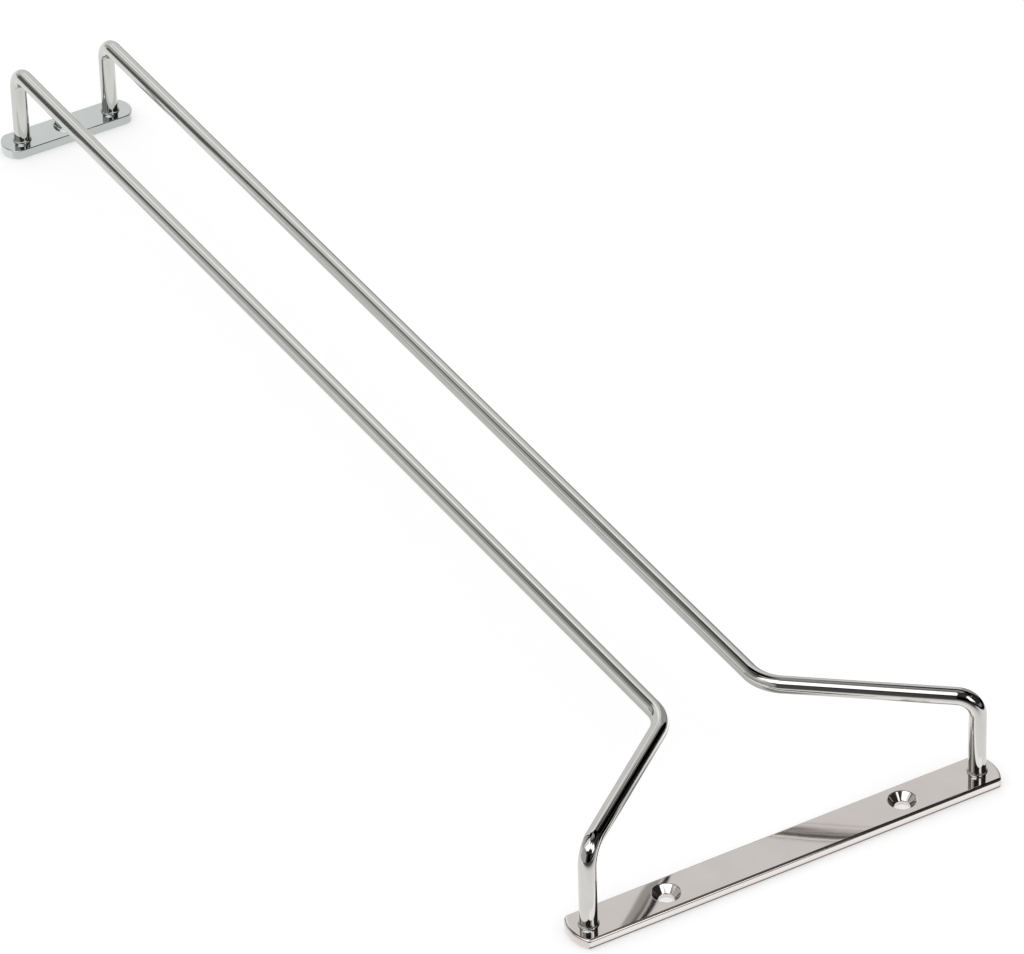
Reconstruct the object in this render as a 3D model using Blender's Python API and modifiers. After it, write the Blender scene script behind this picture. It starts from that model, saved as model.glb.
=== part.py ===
"""Hanging wine glass rack: two bent wire rails welded to a front plate and to a rear plate.

The rack lies with the mounting faces of both plates on Z = 0 and with its rails above them. In use
it is turned over and screwed up under a shelf, and stemmed glasses slide in between the rails from
the front, where the rails spread into a mouth. Metres. The front is at -Y and the left rail at -X.
"""

import math

import bmesh
import bpy
from mathutils import Vector

# Whole rack, from the front edge of the front plate to the rear edge of the rear plate
OVERALL_LENGTH = 0.4064

# Rails: steel wire, bent in one piece
WIRE_DIAMETER = 0.00476
RAIL_SPACING = 0.0288  # between the two centre lines, along the straight run
RAIL_HEIGHT = 0.0266  # from the mounting faces up to the centre lines
FRONT_POST_SPACING = 0.116
FLARE_LENGTH = 0.0345  # from the front posts back to the bends where the mouth ends
FRONT_ELBOW_RADIUS = 0.003  # bend radii are measured on the inside of the wire
REAR_ELBOW_RADIUS = 0.003
FLARE_BEND_RADIUS = 0.009

# Wire ends: turned down to a spigot that stands in a hole in the plate
SPIGOT_SHOULDER = 0.0008  # width of the step all round, where the wire sits over the plate
SPIGOT_RECESS = 0.0003  # from the mounting face up to the end of the spigot
SHOULDER_CHAMFER = 0.0003

# Plates: flat steel bar with its edges rounded off
PLATE_THICKNESS = 0.0029
PLATE_EDGE_ROUND = 0.0008
FRONT_END_MARGIN = 0.0055  # from the axis of a front post out to the plate's end
FRONT_PLATE_WIDTH = 0.0125
FRONT_END_BULGE = 0.002  # how far the middle of each end stands out past its corners
FRONT_CORNER_RADIUS = 0.0015
REAR_END_MARGIN = 0.0064  # from the axis of a rear post out to the plate's end
REAR_PLATE_WIDTH = 0.0105
REAR_END_BULGE = 0.003
REAR_CORNER_RADIUS = 0.0025

# Screw holes: two in the front plate and one in the rear plate, sunk for flat heads
SCREW_INSET = 0.02275  # from the axis of a front post in to the screw's axis
SCREW_HOLE_DIAMETER = 0.0038
COUNTERSINK_DIAMETER = 0.0076
COUNTERSINK_ANGLE = math.radians(90)

# Welds: a small fillet round the foot of each post
WELD_WIDTH = 0.0004
WELD_HEIGHT = 0.0006
WELD_TOE = 0.00015  # thickness of the fillet's two thin edges

# Clearance between neighbouring pieces, and how far a cutter passes the face that it cuts
FIT_GAP = 0.0003
CUT_OVERRUN = 0.001
MERGE_DISTANCE = 0.00001

# Facets
WIRE_BEVEL_RESOLUTION = 8
EDGE_BEVEL_RESOLUTION = 2
BEND_STEPS = 8
CORNER_STEPS = 6
END_STEPS = 12
TURN_STEPS = 32
WELD_STEPS = 4

# Surfaces: colour, metallic and roughness
WIRE_FINISH = ((0.80, 0.80, 0.79), 1.0, 0.07)
PLATE_FINISH = ((0.78, 0.76, 0.76), 1.0, 0.09)
WELD_FINISH = ((0.66, 0.66, 0.65), 1.0, 0.22)

SIDES = (("left", -1), ("right", 1))


def clear_scene():
    """Remove every object, so that the rack is the only thing in the scene."""
    for leftover in list(bpy.data.objects):
        bpy.data.objects.remove(leftover, do_unlink=True)


def new_collection(name):
    """A collection under the scene's own."""
    collection = bpy.data.collections.new(name)
    bpy.context.scene.collection.children.link(collection)
    return collection


def new_material(name, finish):
    """A metal with one colour, metallic value and roughness."""
    colour, metallic, roughness = finish
    material = bpy.data.materials.new(name)
    material.use_nodes = True
    material.diffuse_color = (*colour, 1.0)
    shader = material.node_tree.nodes["Principled BSDF"]
    shader.inputs["Base Color"].default_value = (*colour, 1.0)
    shader.inputs["Metallic"].default_value = metallic
    shader.inputs["Roughness"].default_value = roughness
    return material


def add_object(name, data, collection, location, frame=None):
    """An object that stands at a place, carried by the frame if one is given."""
    obj = bpy.data.objects.new(name, data)
    obj.location = location
    obj.parent = frame
    collection.objects.link(obj)
    return obj


def dress(obj, finish):
    """Give a piece its own material."""
    obj.data.materials.append(new_material(obj.name + "_chrome", finish))
    return obj


def arc(centre, radius, start, end, steps):
    """Points along an arc about a centre, both ends included."""
    turns = [start + (end - start) * step / steps for step in range(steps + 1)]
    return [(centre[0] + radius * math.cos(t), centre[1] + radius * math.sin(t)) for t in turns]


def wire_radius():
    """Half the thickness of the wire."""
    return WIRE_DIAMETER / 2


def spigot_radius():
    """Half the thickness of a wire end, below its shoulder."""
    return wire_radius() - SPIGOT_SHOULDER


def front_row():
    """Y of the front posts, which stand on the front plate's centre line."""
    return (FRONT_PLATE_WIDTH - OVERALL_LENGTH) / 2


def rear_row():
    """Y of the rear posts, which stand on the rear plate's centre line."""
    return (OVERALL_LENGTH - REAR_PLATE_WIDTH) / 2


def wire_bend(before, corner, after, inside_radius):
    """Centre line of the bend that turns the wire from one straight stretch into the next."""
    radius = inside_radius + wire_radius()
    back = (before - corner).normalized()
    ahead = (after - corner).normalized()
    half_angle = back.angle(ahead) / 2
    middle = (back + ahead).normalized()
    centre = corner + middle * (radius / math.sin(half_angle))
    across = -middle
    along = (ahead - middle * ahead.dot(middle)).normalized()
    half_turn = math.pi / 2 - half_angle
    flat = arc((0, 0), radius, -half_turn, half_turn, BEND_STEPS)
    return [centre + across * a + along * b for a, b in flat]


def rail_route(side):
    """Centre line of one rail, from its front spigot to its rear one, with the thickness at each point."""
    post_x = side * FRONT_POST_SPACING / 2
    run_x = side * RAIL_SPACING / 2
    shoulder = PLATE_THICKNESS + FIT_GAP
    spigot = spigot_radius() / wire_radius()
    heights = ((SPIGOT_RECESS, spigot), (shoulder, spigot), (shoulder + SHOULDER_CHAMFER, 1))
    front_foot = [(Vector((post_x, front_row(), z)), share) for z, share in heights]
    rear_foot = [(Vector((run_x, rear_row(), z)), share) for z, share in heights]
    front_top = Vector((post_x, front_row(), RAIL_HEIGHT))
    flare_end = Vector((run_x, front_row() + FLARE_LENGTH, RAIL_HEIGHT))
    rear_top = Vector((run_x, rear_row(), RAIL_HEIGHT))
    bends = (
        wire_bend(front_foot[-1][0], front_top, flare_end, FRONT_ELBOW_RADIUS)
        + wire_bend(front_top, flare_end, rear_top, FLARE_BEND_RADIUS)
        + wire_bend(flare_end, rear_top, rear_foot[-1][0], REAR_ELBOW_RADIUS)
    )
    return front_foot + [(point, 1) for point in bends] + rear_foot[::-1]


def make_rail(name, side, collection, frame):
    """One rail: a post, the flare of the mouth, the long run and the rear post, in one wire."""
    route = rail_route(side)
    wire = bpy.data.curves.new(name, "CURVE")
    wire.dimensions = "3D"
    wire.bevel_depth = wire_radius()
    wire.bevel_resolution = WIRE_BEVEL_RESOLUTION
    wire.use_fill_caps = True
    spline = wire.splines.new("POLY")
    spline.points.add(len(route) - 1)
    for point, (place, share) in zip(spline.points, route):
        point.co = (*place, 1)
        point.radius = share
    return dress(add_object(name, wire, collection, (0, 0, 0), frame), WIRE_FINISH)


def plate_outline(length, width, bulge, corner):
    """Points round a plate whose ends are shallow arcs, joined to the long edges by corner arcs."""
    half_width = width / 2
    end_radius = (half_width**2 + bulge**2) / (2 * bulge)
    end_x = length / 2 - end_radius
    corner_y = half_width - corner
    corner_x = end_x + math.sqrt((end_radius - corner) ** 2 - corner_y**2)
    meet = math.atan2(corner_y, corner_x - end_x)
    lower = arc((corner_x, -corner_y), corner, -math.pi / 2, -meet, CORNER_STEPS)
    middle = arc((end_x, 0), end_radius, -meet, meet, END_STEPS)
    upper = arc((corner_x, corner_y), corner, meet, math.pi / 2, CORNER_STEPS)
    one_end = lower + middle[1:-1] + upper
    return one_end + [(-x, -y) for x, y in one_end]


def flat_blank(name, outline, collection, location, frame):
    """A flat plate with rounded edges, as a mesh that can be drilled."""
    flat = bpy.data.curves.new(name + "_outline", "CURVE")
    flat.dimensions = "2D"
    flat.fill_mode = "BOTH"
    flat.extrude = PLATE_THICKNESS / 2 - PLATE_EDGE_ROUND
    flat.bevel_depth = PLATE_EDGE_ROUND
    flat.bevel_resolution = EDGE_BEVEL_RESOLUTION
    flat.offset = -PLATE_EDGE_ROUND
    spline = flat.splines.new("POLY")
    spline.points.add(len(outline) - 1)
    for point, (x, y) in zip(spline.points, outline):
        point.co = (x, y, 0, 1)
    spline.use_cyclic_u = True
    drawn = add_object(name + "_outline", flat, collection, location, frame)
    graph = bpy.context.evaluated_depsgraph_get()
    mesh = bpy.data.meshes.new_from_object(drawn.evaluated_get(graph))
    work = bmesh.new()
    work.from_mesh(mesh)
    bmesh.ops.remove_doubles(work, verts=work.verts, dist=MERGE_DISTANCE)
    bmesh.ops.recalc_face_normals(work, faces=work.faces)
    work.to_mesh(mesh)
    work.free()
    mesh.name = name
    bpy.data.objects.remove(drawn, do_unlink=True)
    bpy.data.curves.remove(flat)
    return add_object(name, mesh, collection, location, frame)


def turned(name, profile, closed, collection, location, frame=None):
    """A turned shape: a profile in the XZ plane, run round the Z axis."""
    mesh = bpy.data.meshes.new(name)
    edges = [(i, i + 1) for i in range(len(profile) - 1)]
    if closed:
        edges.append((len(profile) - 1, 0))
    mesh.from_pydata([(x, 0, z) for x, z in profile], edges, [])
    obj = add_object(name, mesh, collection, location, frame)
    screw = obj.modifiers.new("turn", "SCREW")
    screw.axis = "Z"
    screw.steps = screw.render_steps = TURN_STEPS
    screw.use_merge_vertices = True
    screw.merge_threshold = MERGE_DISTANCE
    screw.use_smooth_shade = True
    return obj


def screw_hole_cutter(name, collection, location, frame):
    """The space of one screw: a straight hole that opens into a cone at the face below the rails."""
    hole = SCREW_HOLE_DIAMETER / 2
    rim = COUNTERSINK_DIAMETER / 2
    spread = math.tan(COUNTERSINK_ANGLE / 2)
    cone_foot = PLATE_THICKNESS - (rim - hole) / spread
    top = PLATE_THICKNESS + CUT_OVERRUN
    wide = rim + CUT_OVERRUN * spread
    bottom = min(cone_foot, 0) - CUT_OVERRUN
    profile = [(0, top), (wide, top), (hole, cone_foot), (hole, bottom), (0, bottom)]
    return turned(name, profile, False, collection, location, frame)


def spigot_hole_cutter(name, collection, location, frame):
    """The hole that a wire end stands in."""
    hole = spigot_radius() + FIT_GAP
    top = PLATE_THICKNESS + CUT_OVERRUN
    profile = [(0, top), (hole, top), (hole, -CUT_OVERRUN), (0, -CUT_OVERRUN)]
    return turned(name, profile, False, collection, location, frame)


def drill(plate, cutter):
    """Cut one hole through a plate, and keep the cutter as a wire guide."""
    cutter.hide_render = True
    cutter.display_type = "WIRE"
    cut = plate.modifiers.new(cutter.name, "BOOLEAN")
    cut.operation = "DIFFERENCE"
    cut.solver = "EXACT"
    cut.object = cutter


def make_plate(name, row, outline, screws, posts, parts, cutters, frame):
    """One plate, drilled for its screws and for the wire ends at the given X places."""
    plate = flat_blank(name, outline, parts, (0, row, PLATE_THICKNESS / 2), frame)
    for number, x in enumerate(screws, start=1):
        drill(plate, screw_hole_cutter(f"{name}_screw_hole_{number}", cutters, (x, row, 0), frame))
    for number, x in enumerate(posts, start=1):
        drill(plate, spigot_hole_cutter(f"{name}_spigot_hole_{number}", cutters, (x, row, 0), frame))
    plate.data.shade_smooth()
    shading = plate.modifiers.new("flat_faces", "WEIGHTED_NORMAL")
    shading.keep_sharp = True
    return dress(plate, PLATE_FINISH)


def make_weld(name, place, parts, frame):
    """The hollow fillet of weld metal round the foot of one post."""
    inner = wire_radius() + FIT_GAP
    outer = inner + WELD_WIDTH
    across = WELD_WIDTH - WELD_TOE
    up = WELD_HEIGHT - WELD_TOE
    quarter = arc((0, 0), 1, math.pi, math.pi * 3 / 2, WELD_STEPS)
    hollow = [(outer + x * across, WELD_HEIGHT + y * up) for x, y in quarter]
    profile = [(inner, WELD_HEIGHT)] + hollow + [(outer, 0), (inner, 0)]
    location = (*place, PLATE_THICKNESS + FIT_GAP)
    return dress(turned(name, profile, True, parts, location, frame), WELD_FINISH)


def make_front_plate(parts, cutters, frame):
    """The wide plate under the mouth, with a screw hole inside each post."""
    length = FRONT_POST_SPACING + 2 * FRONT_END_MARGIN
    outline = plate_outline(length, FRONT_PLATE_WIDTH, FRONT_END_BULGE, FRONT_CORNER_RADIUS)
    posts = [side * FRONT_POST_SPACING / 2 for _, side in SIDES]
    screws = [x - side * SCREW_INSET for x, (_, side) in zip(posts, SIDES)]
    make_plate("front_plate", front_row(), outline, screws, posts, parts, cutters, frame)


def make_rear_plate(parts, cutters, frame):
    """The short plate under the rear posts, with one screw hole in its middle."""
    length = RAIL_SPACING + 2 * REAR_END_MARGIN
    outline = plate_outline(length, REAR_PLATE_WIDTH, REAR_END_BULGE, REAR_CORNER_RADIUS)
    posts = [side * RAIL_SPACING / 2 for _, side in SIDES]
    make_plate("rear_plate", rear_row(), outline, [0], posts, parts, cutters, frame)


def build_rack():
    """Make every piece of the rack."""
    clear_scene()
    parts = new_collection("hanging_wine_glass_rack")
    cutters = new_collection("cutters")
    cutters.hide_render = True
    frame = add_object("rack_frame", None, parts, (0, 0, 0))
    make_front_plate(parts, cutters, frame)
    make_rear_plate(parts, cutters, frame)
    for side_name, side in SIDES:
        make_rail(f"{side_name}_rail", side, parts, frame)
        front = (side * FRONT_POST_SPACING / 2, front_row())
        rear = (side * RAIL_SPACING / 2, rear_row())
        make_weld(f"front_{side_name}_weld", front, parts, frame)
        make_weld(f"rear_{side_name}_weld", rear, parts, frame)


build_rack()
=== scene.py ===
"""Hanging wine glass rack: its bright chrome surfaces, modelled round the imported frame.

The rack lies on a white table with its plates down and its rails up. Every piece is drawn with
Blender's modelling operators, at the place that the frame gives. Lengths are in metres, and the
front of the rack is at -Y.
"""

import math

import bmesh
import bpy
from bpy.props import FloatProperty, FloatVectorProperty, IntProperty, PointerProperty
from bpy.types import Operator, Panel, PropertyGroup
from mathutils import Matrix, Vector


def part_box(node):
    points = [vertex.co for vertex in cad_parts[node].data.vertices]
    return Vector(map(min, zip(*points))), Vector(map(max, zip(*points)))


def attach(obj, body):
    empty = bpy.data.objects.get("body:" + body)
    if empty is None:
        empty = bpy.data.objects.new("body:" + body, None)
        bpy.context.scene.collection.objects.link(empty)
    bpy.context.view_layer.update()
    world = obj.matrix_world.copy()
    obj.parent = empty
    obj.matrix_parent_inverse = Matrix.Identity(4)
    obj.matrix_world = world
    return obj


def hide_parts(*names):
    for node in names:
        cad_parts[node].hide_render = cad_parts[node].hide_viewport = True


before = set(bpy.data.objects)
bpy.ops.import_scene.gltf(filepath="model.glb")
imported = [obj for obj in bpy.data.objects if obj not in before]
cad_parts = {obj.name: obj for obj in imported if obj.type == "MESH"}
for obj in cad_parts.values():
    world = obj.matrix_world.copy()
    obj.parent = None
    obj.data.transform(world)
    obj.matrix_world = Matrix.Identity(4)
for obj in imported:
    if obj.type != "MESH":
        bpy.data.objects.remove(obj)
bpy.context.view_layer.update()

bl_info = {
    "name": "Wine Glass Rack",
    "version": (1, 0, 0),
    "blender": (4, 5, 0),
    "location": "3D View > Sidebar > Rack",
    "description": "Models a hanging wine glass rack in bright chrome, and the table that it lies on",
    "category": "Add Mesh",
}

MERGE_DISTANCE = 0.000005  # points nearer than this become one
SAME_PLACE = 0.00002  # two coordinates nearer than this count as the same
CUT_OVERRUN = 0.001  # how far a cutter stands out of a plate at both faces

# Faces that meet at less than these angles are shaded as one surface
WIRE_SMOOTHING = math.radians(30)
PLATE_SMOOTHING = math.radians(40)
WELD_SMOOTHING = math.radians(50)

# Along Y, where the chrome starts to look warmer towards the mouth, and where it is warmest
WARMER_FROM = -0.14
WARMEST_FROM = -0.18

# Clouds in the chrome: how far they darken and brighten it, and how fine they are broken up
CLOUD_DARKEST = 0.94
CLOUD_BRIGHTEST = 1.06
CLOUD_DETAIL = 3.0

ROUND_PROFILE = 0.5  # of a bevel: a quarter of a circle

SENSOR_WIDTH = 36  # of the camera, in mm
FULL_TURN = 360  # in degrees
TENT_SEGMENTS = 48
TENT_RINGS = 24
WHITE = (1, 1, 1, 1)

# Cards on the cloth of the light tent, later ones over earlier ones. Each has its name and
# brightness, and then in degrees its bearing from the rear towards the right, elevation, half
# width, half height and softness of the edge. TENT_LEVEL is the brightness of the bare cloth.
TENT_LEVEL = 0.26
TENT_CARDS = (
    ("cloth on the left", 0.53, -79, 9, 58, 24, 4),
    ("cloth behind", 0.86, 24, 0, 44, 44, 4),
    ("cloth behind, left edge", 0.94, -47, 4, 6, 13, 7.5),
    ("grey gap in the cloth behind", 0.19, 50, 4, 9.6, 3.5, 4),
    ("bright top of the cloth behind", 1.26, 17, 41, 11, 7, 4),
    ("bright fold at the top", 1.56, -12, 35, 10, 1, 4),
    ("grey roof on the right", 0.40, 63, 64, 79, 15.5, 4),
    ("black roof strip behind", 0.0, -4, 60, 25, 13, 4),
    ("black roof strip on the right", 0.0, 88, 55.5, 55.5, 10, 4),
    ("black card on the right", 0.0, 90, 18.5, 23, 27.5, 4),
    ("black card at the front right", 0.03, 141, 26, 47, 16, 4),
    ("soft box", 2.15, -132, 59.5, 59, 20.5, 5.5),
    ("black roof strip at the front right", 0.03, 140, 66, 24, 10, 4),
    ("dark card on the camera's left", 0.09, -133, 10, 8, 21.5, 8),
    ("black card round the camera", 0.0, -157, 10, 17.5, 21.5, 4),
    ("grey card under the soft box", 0.42, -97, 37.5, 20, 4.5, 3),
    ("black card under the soft box", 0.02, -142, 37.5, 27, 6.5, 4),
    ("black corner above the camera", 0.02, -163, 42, 14, 7, 4),
    ("black gap above the white card", 0.03, -170, 76.5, 30, 8, 4),
    ("dark card on the left", 0.19, -60, 38, 20, 2.5, 2),
    ("grey cloth above on the left", 0.6, -58, 69, 20, 8, 6),
    ("dark roof strip on the left", 0.08, -52, 55, 20, 8, 5),
    ("black gap under the white card", 0.0, 173, 3.5, 20, 5, 4),
    ("grey cloth behind on the right", 0.43, 61.5, 15.5, 16, 23.5, 4),
)

# Cards on the table, as the metal sees it. Some of them are painted shadows of the rack and painted
# pools of light, which only the metal shows. Each has its name and brightness, and then its middle
# towards the right and towards the rear, half width, half depth and softness of the edge.
# TABLE_LEVEL is the brightness of the bare table.
TABLE_LEVEL = 1.05
TABLE_CARDS_AND_PAINTED_SHADE_AND_LIGHT = (
    # Painted shadow of the rails on the table, seen only in the metal
    ("painted shadow beside the rails", 0.75, -0.05, 0.02, 0.075, 0.14, 0.06),
    # Painted pool of light on the table, which shows as a bright band low on the right flare
    ("painted pool of light behind the right flare", 1.5, 0.05, -0.14, 0.035, 0.03, 0.02),
    # Painted shade on the table just behind the front plate, on the right
    ("painted shade behind the front plate", 0.35, 0.0435, -0.188, 0.0075, 0.0055, 0.003),
    # Painted shade on the table between the rails, under the rack
    ("painted shade between the rails", 0.7, -0.01, -0.13, 0.035, 0.045, 0.03),
    # Painted shade on the table between the flares, under the rack
    ("painted shade between the flares", 0.3, -0.002, -0.173, 0.02, 0.009, 0.01),
    # Painted shade on the table in front of the rear plate
    ("painted shade in front of the rear plate", 0.8, 0.0, 0.19, 0.036, 0.004, 0.002),
    # Painted pool of light on the table, which brightens the front plate's front face
    ("painted pool of light in front of the front plate", 1.25, 0.0, -0.207, 0.062, 0.003, 0.001),
    # Painted contact shadow on the table under the front plate's edge, a dark line at the foot of its
    # face
    ("painted contact shadow under the front plate's edge", 0.2, 0.0, -0.2029, 0.0615, 0.0008, 0.0004),
    ("grey cloth on the left", 0.53, -1.61, 0.0, 1.0, 2.0, 0.04),
    ("black cloth on the right", 0.0, 1.14, 0.0, 1.0, 2.0, 0.04),
    ("dark cloth at the front", 0.1, -0.94, -1.256, 1.0, 1.0, 0.09),
)

# Cards that hang near the rack: a white one upright in front of it, and two flags that hang level
# near its front elbows, the dark one at the right elbow and the pale one at the left. Each has its
# name, brightness and middle, its tilt and then its turn in degrees, its width and its height.
NEAR_CARDS = (
    ("white_card", 1.8, (0.113, -0.566, 0.33), 90, 0, 0.17, 0.36),
    ("dark_flag", 0.05, (0.0396, -0.2623, 0.12), 0, 45, 0.085, 0.063),
    ("pale_flag", 1.05, (-0.1316, -0.1545, 0.12), 0, 150, 0.13, 0.05),
)


def linear_colour(code):
    """A colour for a shader, from its sRGB hex code."""
    channels = [int(code[i : i + 2], 16) / 255 for i in (1, 3, 5)]
    return tuple(c / 12.92 if c <= 0.04045 else ((c + 0.055) / 1.055) ** 2.4 for c in channels)


def length(name, description, default):
    """A length that a user may change."""
    return FloatProperty(
        name=name, description=description, default=default, min=0, unit="LENGTH", precision=5
    )


def angle(name, description, degrees):
    """An angle that a user may change."""
    return FloatProperty(
        name=name, description=description, default=math.radians(degrees), unit="ROTATION", precision=4
    )


def point(name, description, default):
    """A point that a user may move."""
    return FloatVectorProperty(
        name=name, description=description, default=default, subtype="XYZ", unit="LENGTH", precision=5
    )


def colour(name, description, code):
    """A colour that a user may change."""
    return FloatVectorProperty(
        name=name, description=description, default=linear_colour(code), subtype="COLOR", min=0, max=1
    )


def count(name, description, default, least):
    """A number of facets that a user may change."""
    return IntProperty(name=name, description=description, default=default, min=least)


class RackWireSizes(PropertyGroup):
    """Sizes of the two wire rails that the frame's boxes don't give."""

    diameter: length("Wire diameter", "Thickness of the steel wire", 0.00476)
    flare_length: length("Flare length", "From the front posts to the bends behind the mouth", 0.0345)
    front_elbow: length("Front elbow", "Inside radius of the bend at the top of a front post", 0.003)
    rear_elbow: length("Rear elbow", "Inside radius of the bend at the top of a rear post", 0.003)
    flare_bend: length("Flare bend", "Inside radius of the bend behind the mouth", 0.009)
    spigot_shoulder: length("Shoulder", "Width of the step where a wire end is turned down", 0.0008)
    shoulder_chamfer: length("Shoulder chamfer", "Height of the sloping part of that step", 0.0003)
    sides: count("Sides", "Facets round the wire", 64, 12)
    bend_steps: count("Bend steps", "Facets along each bend", 24, 4)


class RackPlateSizes(PropertyGroup):
    """Sizes of the two plates that the frame's boxes don't give."""

    front_round: length("Front edge round", "Radius left on the front plate's edges by polishing", 0.0008)
    rear_round: length("Rear edge round", "Radius left on the rear plate's edges by polishing", 0.0003)
    hole_round: length("Hole round", "Radius left on the edges of the holes by polishing", 0.0002)
    front_bulge: length("Front end bulge", "How far a front end's middle passes its corners", 0.002)
    front_corner: length("Front corner radius", "Radius of the front plate's corners", 0.0015)
    rear_bulge: length("Rear end bulge", "How far a rear end's middle passes its corners", 0.003)
    rear_corner: length("Rear corner radius", "Radius of the rear plate's corners", 0.0025)
    screw_inset: length("Screw inset", "From a front post's axis in to the screw's axis", 0.02275)
    screw_hole: length("Screw hole", "Diameter of the straight part of a screw hole", 0.0038)
    countersink: length("Countersink", "Diameter of a countersink at the plate's face", 0.0076)
    countersink_angle: angle("Countersink angle", "Angle of the screw's head", 90)
    spigot_gap: length("Spigot gap", "Clearance round a wire end in its hole", 0.0003)
    facets: count("Facets", "Facets round a hole or a half turn", 48, 12)
    edge_steps: count("Edge steps", "Facets across a plate's rounded edge", 5, 1)
    hole_steps: count("Hole edge steps", "Facets across the rounded edge of a hole", 3, 1)


class RackWeldSizes(PropertyGroup):
    """Sizes of the weld fillets at the feet of the posts."""

    leg: length("Leg", "How far a fillet reaches out over the plate", 0.00045)
    rise: length("Rise", "How far a fillet climbs up the post", 0.0012)
    toe: length("Toe", "Thickness that is left at a fillet's two thin edges", 0.00003)
    sink: length("Sink", "How far a fillet bites into the wire and the plate", 0.00004)
    steps: count("Steps", "Facets across a fillet", 10, 3)


class RackFinishes(PropertyGroup):
    """Colours of the metal."""

    wire: colour("Wire", "Bright chrome on drawn wire, at the rear", "#C9CAC6")
    wire_mouth: colour("Wire at the mouth", "The same, at the front", "#CBC9C6")
    plate: colour("Plate", "Bright chrome on flat bar, at the rear", "#CED2D1")
    plate_mouth: colour("Plate at the mouth", "The same, at the front", "#D4CECB")
    weld: colour("Weld", "Bright chrome on the weld fillets", "#BEBFBC")


class RackStudio(PropertyGroup):
    """Camera, table, light tent and dark stand."""

    aim: point("Aim", "Point on the table at the middle of the view", (0.02373, -0.01891, 0))
    distance: length("Distance", "From the camera to its aim", 1.9983)
    bearing: angle("Bearing", "Turn of the line of sight, from +Y towards +X", 29.2413)
    elevation: angle("Elevation", "Slope of the line of sight", 35.9608)
    roll: angle("Roll", "Turn of the camera about its line of sight", -1.8016)
    lens: FloatProperty(
        name="Lens", description="Focal length in mm, on a sensor 36 mm wide", default=258.157
    )
    table: length("Table", "Length of each side of the table top", 3.0)
    table_colour: colour("Table colour", "Matt white laminate", "#D8D8D8")
    table_lift: FloatProperty(
        name="Table lift", description="Light added to the table where it is seen, to make it white",
        default=0.37, min=0, max=1,
    )
    # The cards, painted shadows and painted pools of light lie on one plane this high above the table
    lit_height: length("Card height", "From the table up to the cards that lie on it", 0.0003)
    tent: length("Light tent", "Radius of the tent of cloth round the table", 8.0)
    stand_place: point("Stand", "Foot of the dark stand", (-0.19, 0.415, 0))
    stand_radius: length("Stand radius", "Half the stand's thickness", 0.0336)
    stand_height: length("Stand height", "Height of the dark stand", 1.0)
    stand_colour: colour("Stand colour", "Grey felt", "#707070")


def deselect_everything():
    """Leave edit mode and clear the selection, so that the next operator acts on its own piece."""
    if bpy.context.mode != "OBJECT":
        bpy.ops.object.mode_set(mode="OBJECT")
    bpy.ops.object.select_all(action="DESELECT")


def pick(piece):
    """Leave edit mode, and make one piece the only one that is selected."""
    deselect_everything()
    piece.select_set(True)
    bpy.context.view_layer.objects.active = piece


def edit(piece):
    """Open one piece in edit mode, with nothing selected in it."""
    pick(piece)
    bpy.ops.object.mode_set(mode="EDIT")
    bpy.ops.mesh.select_mode(type="VERT")
    bpy.ops.mesh.select_all(action="DESELECT")


def select_edges(piece, wanted):
    """Select the edges of the edited piece whose two ends pass a test."""
    bpy.ops.mesh.select_mode(type="EDGE")
    work = bmesh.from_edit_mesh(piece.data)
    for edge in work.edges:
        edge.select_set(wanted(edge.verts[0].co, edge.verts[1].co))
    work.select_flush_mode()
    bmesh.update_edit_mesh(piece.data)


def push(offset):
    """Extrude what is selected by an offset."""
    bpy.ops.mesh.extrude_region_move(TRANSFORM_OT_translate={"value": offset})


def draw_rings(rings, place):
    """Extrude the selected ring to ring after ring, each a radius at a height, round an upright axis."""
    for (radius, height), (next_radius, next_height) in zip(rings, rings[1:]):
        push((0, 0, next_height - height))
        growth = next_radius / radius
        bpy.ops.transform.resize(value=(growth, growth, 1), center_override=(*place, next_height))


def turn_end(centre, axis, turn, steps):
    """Spin what is selected anticlockwise round an axis. The operator itself turns clockwise."""
    bpy.ops.mesh.spin(steps=steps, angle=turn, center=centre, axis=-axis)


def close_seams():
    """Merge the edited piece's doubles and turn all its faces outwards."""
    bpy.ops.mesh.select_all(action="SELECT")
    bpy.ops.mesh.remove_doubles(threshold=MERGE_DISTANCE)
    bpy.ops.mesh.normals_make_consistent(inside=False)


def smooth(smoothing):
    """Leave edit mode, and shade as one surface the faces that meet at less than an angle."""
    bpy.ops.object.mode_set(mode="OBJECT")
    bpy.ops.object.shade_smooth_by_angle(angle=smoothing)


def copy_of(piece):
    """A copy of a piece, with a mesh of its own."""
    pick(piece)
    bpy.ops.object.duplicate(linked=False)
    return bpy.context.active_object


def apply_modifier(piece, kind, **settings):
    """Add a modifier to the piece and apply it."""
    bpy.context.view_layer.objects.active = piece
    modifier = piece.modifiers.new(kind.lower(), kind)
    for setting, value in settings.items():
        setattr(modifier, setting, value)
    bpy.ops.object.modifier_apply(modifier=modifier.name)


def settle(piece, name, node, material):
    """Finish a piece: its place goes into its mesh, and it stands for its node of the frame."""
    pick(piece)
    bpy.ops.object.transform_apply(location=True, rotation=True, scale=True)
    piece.name = piece.data.name = name
    piece.data.materials.clear()
    piece.data.materials.append(material)
    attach(piece, "root")
    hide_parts(node)


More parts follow.
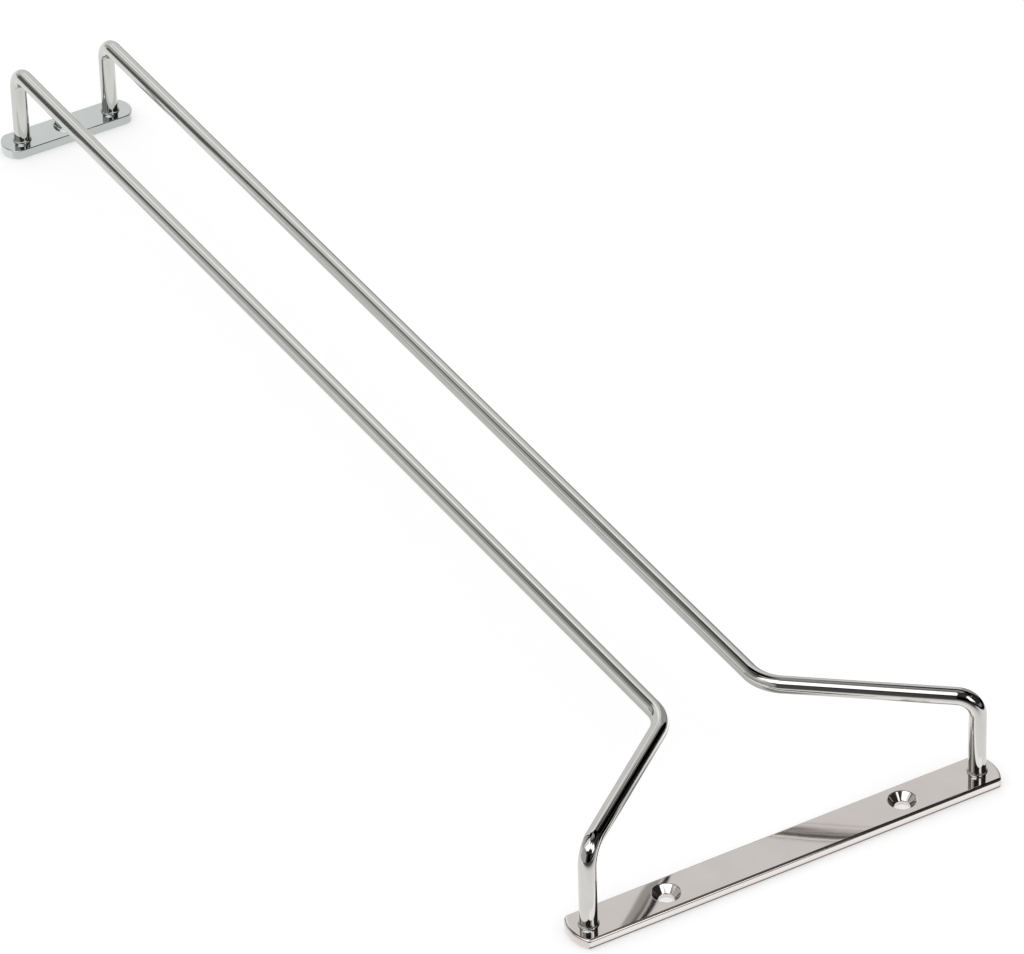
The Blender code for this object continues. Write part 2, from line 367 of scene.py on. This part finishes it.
def add_node(tree, kind, settings=None, **links):
    """Add a node with its settings, and set or link its inputs.

    A link's key is the input's name, with _ for a space, or i and the input's number.
    """
    node = tree.nodes.new(kind)
    for setting, value in (settings or {}).items():
        setattr(node, setting, value)
    for key, value in links.items():
        numbered = key[0] == "i" and key[1:].isdigit()
        socket = node.inputs[int(key[1:]) if numbered else key.replace("_", " ")]
        if isinstance(value, bpy.types.NodeSocket):
            tree.links.new(value, socket)
        else:
            socket.default_value = value
    return node


def new_surface(name, tint, **settings):
    """A material of one colour, and its shader with some inputs set. A key has _ for a space."""
    material = bpy.data.materials.new(name)
    material.use_nodes = True
    material.diffuse_color = (*tint, 1)
    shader = material.node_tree.nodes["Principled BSDF"]
    shader.inputs["Base Color"].default_value = (*tint, 1)
    for key, value in settings.items():
        shader.inputs[key.replace("_", " ")].default_value = value
    return material, shader


def new_chrome(name, rear, mouth, roughness, clouds, waves, wave_detail, wave_height):
    """Chrome plate: a mirror that is cool white at the rear and a little warmer at the mouth.

    The plating bath leaves it slightly clouded, and the ground under it makes it slightly wavy.
    clouds and waves say how many of each there are in a metre.
    """
    material, shader = new_surface(name, rear, Metallic=1, Roughness=roughness)
    tree = material.node_tree
    place = add_node(tree, "ShaderNodeTexCoord").outputs["Object"]
    along = add_node(tree, "ShaderNodeSeparateXYZ", i0=place).outputs["Y"]
    share = add_node(
        tree, "ShaderNodeMapRange", {"interpolation_type": "SMOOTHSTEP"},
        Value=along, From_Min=WARMER_FROM, From_Max=WARMEST_FROM,
    ).outputs[0]
    tint = add_node(
        tree, "ShaderNodeMix", {"data_type": "RGBA"}, i0=share, i6=(*rear, 1), i7=(*mouth, 1)
    ).outputs[2]
    cloud = add_node(
        tree, "ShaderNodeTexNoise", Vector=place, Scale=clouds, Detail=CLOUD_DETAIL
    ).outputs["Fac"]
    shade = add_node(
        tree, "ShaderNodeMapRange", Value=cloud, To_Min=CLOUD_DARKEST, To_Max=CLOUD_BRIGHTEST
    ).outputs[0]
    clouded = add_node(tree, "ShaderNodeVectorMath", {"operation": "SCALE"}, i0=tint, Scale=shade)
    tree.links.new(clouded.outputs[0], shader.inputs["Base Color"])
    wave = add_node(
        tree, "ShaderNodeTexNoise", Vector=place, Scale=waves, Detail=wave_detail
    ).outputs["Fac"]
    bump = add_node(tree, "ShaderNodeBump", Strength=1.0, Distance=wave_height, Height=wave)
    tree.links.new(bump.outputs[0], shader.inputs["Normal"])
    return material


def wire_chrome():
    """Bright chrome plate on drawn wire: a mirror, which draws reflections out along the wire."""
    finish = bpy.context.scene.rack_finishes
    # Clouds 6 mm long, and slow waves 15 mm long, left by straightening the wire: reflections
    # wander a little along a rail
    return new_chrome(
        "bright_chrome_plate_on_drawn_wire", finish.wire, finish.wire_mouth,
        roughness=0.07, clouds=180.0, waves=65.0, wave_detail=1.0, wave_height=0.000012,
    )


def plate_chrome():
    """Bright chrome plate on polished flat bar: a mirror with slow waves and a faint haze."""
    finish = bpy.context.scene.rack_finishes
    # Clouds 8 mm long, and slow waves 20 mm long, left by rolling and polishing: straight
    # reflections bend a little in the plate
    return new_chrome(
        "bright_chrome_plate_on_flat_bar", finish.plate, finish.plate_mouth,
        roughness=0.065, clouds=120.0, waves=50.0, wave_detail=1.0, wave_height=0.00012,
    )


def weld_chrome():
    """Chrome plate over weld metal: the same bath over rougher ground, so it is duller and uneven."""
    finish = bpy.context.scene.rack_finishes
    # Clouds and ripples of the weld bead, both about 1 mm long
    return new_chrome(
        "chrome_plate_over_weld_metal", finish.weld, finish.weld,
        roughness=0.12, clouds=900.0, waves=1000.0, wave_detail=2.0, wave_height=0.000004,
    )


def bend_wire(start, corners, radii, steps):
    """Extrude the selected wire end from corner to corner, and spin it round each bend."""
    here = start
    for corner, following, radius in zip(corners, corners[1:], radii):
        before = (corner - here).normalized()
        after = (following - corner).normalized()
        turn = before.angle(after)
        setback = radius * math.tan(turn / 2)
        push(corner - before * setback - here)
        axis = before.cross(after).normalized()
        centre = corner - before * setback + axis.cross(before) * radius
        turn_end(centre, axis, turn, steps)
        here = corner + after * setback
    push(corners[-1] - here)


class RACK_OT_wire_rails(Operator):
    """Draw the left wire rail from its front foot to its rear one, and mirror it for the right one"""

    bl_idname = "rack.wire_rails"
    bl_label = "Wire rails"
    bl_options = {"REGISTER", "UNDO"}

    def execute(self, context):
        sizes = context.scene.rack_wire
        low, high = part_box("left_rail")
        radius = sizes.diameter / 2
        post_x = low.x + radius
        run_x = high.x - radius
        front_y = low.y + radius
        rear_y = high.y - radius
        top_z = high.z - radius
        shoulder_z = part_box("front_left_weld")[0].z
        full_z = shoulder_z + sizes.shoulder_chamfer
        spigot = radius - sizes.spigot_shoulder
        deselect_everything()
        bpy.ops.mesh.primitive_circle_add(
            vertices=sizes.sides, radius=spigot, fill_type="NGON", location=(post_x, front_y, low.z)
        )
        rail = context.active_object
        bpy.ops.object.transform_apply(location=True)
        edit(rail)
        bpy.ops.mesh.select_all(action="SELECT")
        # A foot is a spigot that stands in the plate, and a shoulder that slopes out to the full wire
        foot = [(spigot, low.z), (spigot, shoulder_z), (radius, full_z)]
        draw_rings(foot, (post_x, front_y))
        corners = [
            Vector((post_x, front_y, top_z)),
            Vector((run_x, front_y + sizes.flare_length, top_z)),
            Vector((run_x, rear_y, top_z)),
            Vector((run_x, rear_y, full_z)),
        ]
        bends = [inside + radius for inside in (sizes.front_elbow, sizes.flare_bend, sizes.rear_elbow)]
        bend_wire(Vector((post_x, front_y, full_z)), corners, bends, sizes.bend_steps)
        draw_rings(foot[::-1], (run_x, rear_y))
        close_seams()
        smooth(WIRE_SMOOTHING)
        # The right rail is the left one mirrored, with its faces turned outwards again
        mirrored = copy_of(rail)
        edit(mirrored)
        bpy.ops.mesh.select_all(action="SELECT")
        bpy.ops.transform.resize(value=(-1, 1, 1), center_override=(0, 0, 0))
        bpy.ops.mesh.normals_make_consistent(inside=False)
        metal = wire_chrome()
        settle(rail, "left_wire_rail", "left_rail", metal)
        settle(mirrored, "right_wire_rail", "right_rail", metal)
        return {"FINISHED"}


def draw_plate(node, bulge, corner, edge_round):
    """Draw a plate's half outline point by point, mirror it, fill it, thicken it and round its edges."""
    sizes = bpy.context.scene.rack_plates
    low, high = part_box(node)
    middle = (low + high) / 2
    half_length = (high.x - low.x) / 2
    half_width = (high.y - low.y) / 2
    end_radius = (half_width**2 + bulge**2) / (2 * bulge)
    end_x = half_length - end_radius
    corner_y = half_width - corner
    corner_x = end_x + math.sqrt((end_radius - corner) ** 2 - corner_y**2)
    meet = math.atan2(corner_y, corner_x - end_x)
    deselect_everything()
    bpy.ops.mesh.primitive_plane_add(size=2 * half_width, location=(0, middle.y, low.z))
    plate = bpy.context.active_object
    bpy.ops.object.transform_apply(location=True)
    edit(plate)
    bpy.ops.mesh.select_all(action="SELECT")
    bpy.ops.mesh.merge(type="CENTER")
    bpy.ops.transform.translate(value=(0, -half_width, 0))
    push((corner_x, 0, 0))
    arcs = (
        (corner_x, middle.y - corner_y, math.pi / 2 - meet, sizes.facets // 4),
        (end_x, middle.y, 2 * meet, sizes.facets // 2),
        (corner_x, middle.y + corner_y, math.pi / 2 - meet, sizes.facets // 4),
    )
    for x, y, turn, steps in arcs:
        turn_end((x, y, low.z), Vector((0, 0, 1)), turn, steps)
    push((-corner_x, 0, 0))
    bpy.ops.mesh.select_all(action="SELECT")
    bpy.ops.mesh.duplicate()
    bpy.ops.transform.resize(value=(-1, 1, 1), center_override=middle)
    bpy.ops.mesh.select_all(action="SELECT")
    bpy.ops.mesh.remove_doubles(threshold=MERGE_DISTANCE)
    bpy.ops.mesh.edge_face_add()
    push((0, 0, high.z - low.z))
    close_seams()
    select_edges(plate, lambda a, b: abs(a.z - b.z) < SAME_PLACE)
    bpy.ops.mesh.bevel(
        offset=edge_round, segments=sizes.edge_steps, profile=ROUND_PROFILE, affect="EDGES"
    )
    bpy.ops.object.mode_set(mode="OBJECT")
    return plate


def cut_away(plate, rings, place):
    """Cut a turned hole: its rings are radii at heights, from below the plate to above it."""
    facets = bpy.context.scene.rack_plates.facets
    radius, bottom = rings[0]
    deselect_everything()
    bpy.ops.mesh.primitive_circle_add(
        vertices=facets, radius=radius, fill_type="NGON", location=(*place, bottom)
    )
    cutter = bpy.context.active_object
    bpy.ops.object.transform_apply(location=True)
    edit(cutter)
    bpy.ops.mesh.select_all(action="SELECT")
    draw_rings(rings, place)
    close_seams()
    deselect_everything()
    apply_modifier(plate, "BOOLEAN", operation="DIFFERENCE", solver="EXACT", object=cutter)
    bpy.data.objects.remove(cutter, do_unlink=True)


def drill_plate(plate, node, screws, posts):
    """Cut a plate's countersunk screw holes and the holes that its wire ends stand in."""
    wire = bpy.context.scene.rack_wire
    sizes = bpy.context.scene.rack_plates
    low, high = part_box(node)
    row = (low.y + high.y) / 2
    hole = sizes.screw_hole / 2
    rim = sizes.countersink / 2
    spread = math.tan(sizes.countersink_angle / 2)
    cone_foot = high.z - (rim - hole) / spread
    wide = rim + CUT_OVERRUN * spread
    spigot_hole = wire.diameter / 2 - wire.spigot_shoulder + sizes.spigot_gap
    bottom = low.z - CUT_OVERRUN
    top = high.z + CUT_OVERRUN
    for x in screws:
        cut_away(plate, [(hole, bottom), (hole, cone_foot), (wide, top)], (x, row))
    for x in posts:
        cut_away(plate, [(spigot_hole, bottom), (spigot_hole, top)], (x, row))

    def on_screw_edge(a, b):
        if abs(a.z - b.z) >= SAME_PLACE:
            return False
        for x in screws:
            reach = [math.hypot(end.x - x, end.y - row) for end in (a, b)]
            if any(max(abs(r - ring) for r in reach) < SAME_PLACE for ring in (hole, rim)):
                return True
        return False

    edit(plate)
    select_edges(plate, on_screw_edge)
    bpy.ops.mesh.bevel(
        offset=sizes.hole_round, segments=sizes.hole_steps, profile=ROUND_PROFILE, affect="EDGES"
    )
    close_seams()
    smooth(PLATE_SMOOTHING)
    apply_modifier(plate, "WEIGHTED_NORMAL", keep_sharp=True)


class RACK_OT_plates(Operator):
    """Draw both screw plates, drill them and round their edges"""

    bl_idname = "rack.plates"
    bl_label = "Screw plates"
    bl_options = {"REGISTER", "UNDO"}

    def execute(self, context):
        wire = context.scene.rack_wire
        sizes = context.scene.rack_plates
        low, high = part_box("right_rail")
        post_x = high.x - wire.diameter / 2
        run_x = low.x + wire.diameter / 2
        screw_x = post_x - sizes.screw_inset
        metal = plate_chrome()
        front = draw_plate("front_plate", sizes.front_bulge, sizes.front_corner, sizes.front_round)
        drill_plate(front, "front_plate", (-screw_x, screw_x), (-post_x, post_x))
        settle(front, "front_screw_plate", "front_plate", metal)
        rear = draw_plate("rear_plate", sizes.rear_bulge, sizes.rear_corner, sizes.rear_round)
        drill_plate(rear, "rear_plate", (0,), (-run_x, run_x))
        settle(rear, "rear_screw_plate", "rear_plate", metal)
        return {"FINISHED"}


class RACK_OT_welds(Operator):
    """Draw one weld fillet as a ring with a hollow face, and copy it to the foot of each post"""

    bl_idname = "rack.welds"
    bl_label = "Weld fillets"
    bl_options = {"REGISTER", "UNDO"}

    def execute(self, context):
        sizes = context.scene.rack_welds
        wire = context.scene.rack_wire
        nodes = [f"{end}_{side}_weld" for end in ("front", "rear") for side in ("left", "right")]
        feet = [sum(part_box(node), Vector()) / 2 for node in nodes]
        plate_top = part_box("front_plate")[1].z
        base = plate_top - sizes.sink
        inner = wire.diameter / 2 - sizes.sink
        reach = wire.diameter / 2 + sizes.leg
        crest = plate_top + sizes.rise
        across = sizes.leg - sizes.toe
        up = sizes.rise - sizes.toe
        turns = [math.pi + step * math.pi / 2 / sizes.steps for step in range(sizes.steps + 1)]
        face = [(reach + across * math.cos(turn), crest + up * math.sin(turn)) for turn in turns]
        rings = [(inner, crest), *face, (reach, base), (inner, base), (inner, crest)]
        foot = feet[0]
        deselect_everything()
        bpy.ops.mesh.primitive_circle_add(
            vertices=wire.sides, radius=inner, fill_type="NOTHING", location=(foot.x, foot.y, crest)
        )
        weld = context.active_object
        bpy.ops.object.transform_apply(location=True)
        edit(weld)
        bpy.ops.mesh.select_all(action="SELECT")
        draw_rings(rings, (foot.x, foot.y))
        close_seams()
        smooth(WELD_SMOOTHING)
        metal = weld_chrome()
        pieces = [weld] + [copy_of(weld) for _ in nodes[1:]]
        for piece, node, place in zip(pieces, nodes, feet):
            piece.location = (place.x - foot.x, place.y - foot.y, 0)
            settle(piece, node + "_fillet", node, metal)
        return {"FINISHED"}


class RACK_OT_studio(Operator):
    """Set up the camera, lay the white table, and put the lit tent and its cards round the rack"""

    bl_idname = "rack.studio"
    bl_label = "Table, lights and camera"
    bl_options = {"REGISTER", "UNDO"}

    def execute(self, context):
        add_camera()
        add_table()
        add_sky()
        add_light_tent()
        add_cards_and_painted_shade_and_light_on_table()
        add_dark_stand()
        add_near_cards()
        context.scene.view_settings.view_transform = "Standard"
        return {"FINISHED"}


def add_camera():
    """The camera, set back from its aim along the line of sight."""
    studio = bpy.context.scene.rack_studio
    data = bpy.data.cameras.new("photo_camera")
    data.sensor_width = SENSOR_WIDTH
    data.lens = studio.lens
    camera = bpy.data.objects.new("photo_camera", data)
    bpy.context.scene.collection.objects.link(camera)
    forward = math.cos(studio.elevation)
    ahead = Vector((
        math.sin(studio.bearing) * forward,
        math.cos(studio.bearing) * forward,
        -math.sin(studio.elevation),
    ))
    camera.location = Vector(studio.aim) - ahead * studio.distance
    upright = ahead.to_track_quat("-Z", "Y").to_matrix().to_4x4()
    camera.rotation_euler = (upright @ Matrix.Rotation(studio.roll, 4, "Z")).to_euler()
    bpy.context.scene.camera = camera


def add_table():
    """The table top of matt white laminate. Where no shadow falls, it is seen as plain white."""
    studio = bpy.context.scene.rack_studio
    deselect_everything()
    bpy.ops.mesh.primitive_plane_add(size=studio.table)
    table = bpy.context.active_object
    table.name = table.data.name = "white_table"
    material, shader = new_surface(
        "white_laminate", studio.table_colour, Roughness=0.9, Specular_IOR_Level=0.1
    )
    tree = material.node_tree
    rays = add_node(tree, "ShaderNodeLightPath").outputs
    seen = add_node(
        tree, "ShaderNodeMath", {"operation": "ADD"}, i0=rays["Is Camera Ray"], i1=rays["Is Glossy Ray"]
    ).outputs[0]
    seen = add_node(
        tree, "ShaderNodeMath", {"operation": "ADD", "use_clamp": True},
        i0=seen, i1=rays["Is Transmission Ray"],
    ).outputs[0]
    lift = add_node(tree, "ShaderNodeMath", {"operation": "MULTIPLY"}, i0=seen, i1=studio.table_lift)
    glow = add_node(tree, "ShaderNodeEmission", Color=WHITE, Strength=lift.outputs[0])
    both = add_node(tree, "ShaderNodeAddShader", i0=shader.outputs[0], i1=glow.outputs[0])
    tree.links.new(both.outputs[0], tree.nodes["Material Output"].inputs["Surface"])
    table.data.materials.append(material)


def add_sky():
    """Plain white light from all round."""
    world = bpy.data.worlds.new("studio")
    bpy.context.scene.world = world
    world.use_nodes = True
    background = world.node_tree.nodes["Background"]
    background.inputs["Color"].default_value = WHITE
    background.inputs["Strength"].default_value = 1.0


def show_to_metal_only(name, material):
    """Name and dress the piece of the studio that was just added, and let only the metal see it."""
    prop = bpy.context.active_object
    prop.name = prop.data.name = name
    prop.data.materials.append(material)
    prop.visible_camera = False
    prop.visible_diffuse = False
    prop.visible_transmission = False
    prop.visible_shadow = False


def new_cloth(name):
    """A material that lights nothing, for what only the metal sees, and its node tree."""
    material = bpy.data.materials.new(name)
    material.use_nodes = True
    material.cycles.emission_sampling = "NONE"
    return material, material.node_tree


def light_cloth(tree, level, cards, across, upward, full_turn):
    """Give a cloth a plain brightness and hang its cards on it, each placed by two values.

    The values repeat after a full turn, so a card may hang over the line where they start again.
    """
    shade = (level, level, level, 1)
    for name, brightness, side, height, half_width, half_height, soft in cards:
        masks = []
        for value, middle, half in ((across, side, half_width), (upward, height, half_height)):
            offset = add_node(tree, "ShaderNodeMath", {"operation": "SUBTRACT"}, i0=value, i1=middle)
            wrapped = add_node(
                tree, "ShaderNodeMath", {"operation": "WRAP"},
                i0=offset.outputs[0], i1=full_turn / 2, i2=-full_turn / 2,
            )
            away = add_node(tree, "ShaderNodeMath", {"operation": "ABSOLUTE"}, i0=wrapped.outputs[0])
            mask = add_node(
                tree, "ShaderNodeMapRange", {"interpolation_type": "SMOOTHSTEP"},
                Value=away.outputs[0], From_Min=half + soft / 2, From_Max=half - soft / 2,
            )
            masks.append(mask.outputs[0])
        card = add_node(tree, "ShaderNodeMath", {"operation": "MULTIPLY"}, i0=masks[0], i1=masks[1])
        shade = add_node(
            tree, "ShaderNodeMix", {"data_type": "RGBA", "label": name, "clamp_result": False},
            i0=card.outputs[0], i6=shade, i7=(brightness, brightness, brightness, 1),
        ).outputs[2]
    glow = add_node(tree, "ShaderNodeEmission", Color=shade, Strength=1.0)
    tree.links.new(glow.outputs[0], tree.nodes["Material Output"].inputs["Surface"])


def add_light_tent():
    """A wide tent of lit cloth. Its cards give the chrome its bright, grey and dark bands."""
    material, tree = new_cloth("light_tent_cloth")
    place = add_node(tree, "ShaderNodeTexCoord").outputs["Object"]
    way = add_node(tree, "ShaderNodeVectorMath", {"operation": "NORMALIZE"}, i0=place).outputs[0]
    axes = add_node(tree, "ShaderNodeSeparateXYZ", i0=way).outputs
    bearing = add_node(tree, "ShaderNodeMath", {"operation": "ARCTAN2"}, i0=axes["X"], i1=axes["Y"])
    elevation = add_node(tree, "ShaderNodeMath", {"operation": "ARCSINE"}, i0=axes["Z"])
    across, upward = [
        add_node(tree, "ShaderNodeMath", {"operation": "DEGREES"}, i0=node.outputs[0]).outputs[0]
        for node in (bearing, elevation)
    ]
    light_cloth(tree, TENT_LEVEL, TENT_CARDS, across, upward, FULL_TURN)
    radius = bpy.context.scene.rack_studio.tent
    deselect_everything()
    bpy.ops.mesh.primitive_uv_sphere_add(segments=TENT_SEGMENTS, ring_count=TENT_RINGS, radius=radius)
    show_to_metal_only("light_tent", material)


def add_cards_and_painted_shade_and_light_on_table():
    """The table as the metal sees it, with cards and cloths on it, among them painted shadows of the rack
    and painted pools of light.
    """
    studio = bpy.context.scene.rack_studio
    material, tree = new_cloth("white_laminate_with_cards_and_painted_shade_and_light")
    place = add_node(tree, "ShaderNodeTexCoord").outputs["Object"]
    axes = add_node(tree, "ShaderNodeSeparateXYZ", i0=place).outputs
    # A turn of twice the table's size: no card comes round again on it
    light_cloth(tree, TABLE_LEVEL, TABLE_CARDS_AND_PAINTED_SHADE_AND_LIGHT, axes["X"], axes["Y"], 2 * studio.table)
    deselect_everything()
    bpy.ops.mesh.primitive_plane_add(size=studio.table, location=(0, 0, studio.lit_height))
    show_to_metal_only("cards_and_painted_shade_and_light_on_the_table", material)


def add_dark_stand():
    """A round stand in grey felt. It draws the dark line along the rails."""
    studio = bpy.context.scene.rack_studio
    material, _ = new_surface("grey_felt", studio.stand_colour, Roughness=1.0, Specular_IOR_Level=0.0)
    x, y, _ = studio.stand_place
    deselect_everything()
    bpy.ops.mesh.primitive_cylinder_add(
        radius=studio.stand_radius, depth=studio.stand_height, location=(x, y, studio.stand_height / 2)
    )
    show_to_metal_only("dark_stand", material)


def add_near_cards():
    """The plain cards that hang near the rack, each of one brightness."""
    for name, brightness, middle, tilt, turn, width, height in NEAR_CARDS:
        material, tree = new_cloth(name + "_face")
        glow = add_node(tree, "ShaderNodeEmission", Color=WHITE, Strength=brightness)
        tree.links.new(glow.outputs[0], tree.nodes["Material Output"].inputs["Surface"])
        deselect_everything()
        bpy.ops.mesh.primitive_plane_add(
            size=1, location=middle, rotation=(math.radians(tilt), 0, math.radians(turn))
        )
        bpy.context.active_object.dimensions = (width, height, 0)
        show_to_metal_only(name, material)


class RACK_PT_panel(Panel):
    """The rack's operators and sizes"""

    bl_label = "Wine glass rack"
    bl_idname = "RACK_PT_panel"
    bl_space_type = "VIEW_3D"
    bl_region_type = "UI"
    bl_category = "Rack"

    def draw(self, context):
        for operator in OPERATORS:
            self.layout.operator(operator.bl_idname)
        for name, group in GROUPS.items():
            box = self.layout.box()
            for setting in group.__annotations__:
                box.prop(getattr(context.scene, name), setting)


GROUPS = {
    "rack_wire": RackWireSizes,
    "rack_plates": RackPlateSizes,
    "rack_welds": RackWeldSizes,
    "rack_finishes": RackFinishes,
    "rack_studio": RackStudio,
}
OPERATORS = (RACK_OT_wire_rails, RACK_OT_plates, RACK_OT_welds, RACK_OT_studio)


def register():
    """Add the classes, and the settings to the scene."""
    for cls in (*GROUPS.values(), *OPERATORS, RACK_PT_panel):
        bpy.utils.register_class(cls)
    for name, group in GROUPS.items():
        setattr(bpy.types.Scene, name, PointerProperty(type=group))


def unregister():
    """Take away the settings and the classes."""
    for name in GROUPS:
        delattr(bpy.types.Scene, name)
    for cls in (RACK_PT_panel, *reversed(OPERATORS), *reversed(GROUPS.values())):
        bpy.utils.unregister_class(cls)


def main():
    """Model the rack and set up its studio."""
    register()
    bpy.ops.rack.wire_rails()
    bpy.ops.rack.plates()
    bpy.ops.rack.welds()
    bpy.ops.rack.studio()


if __name__ == "__main__":
    main()
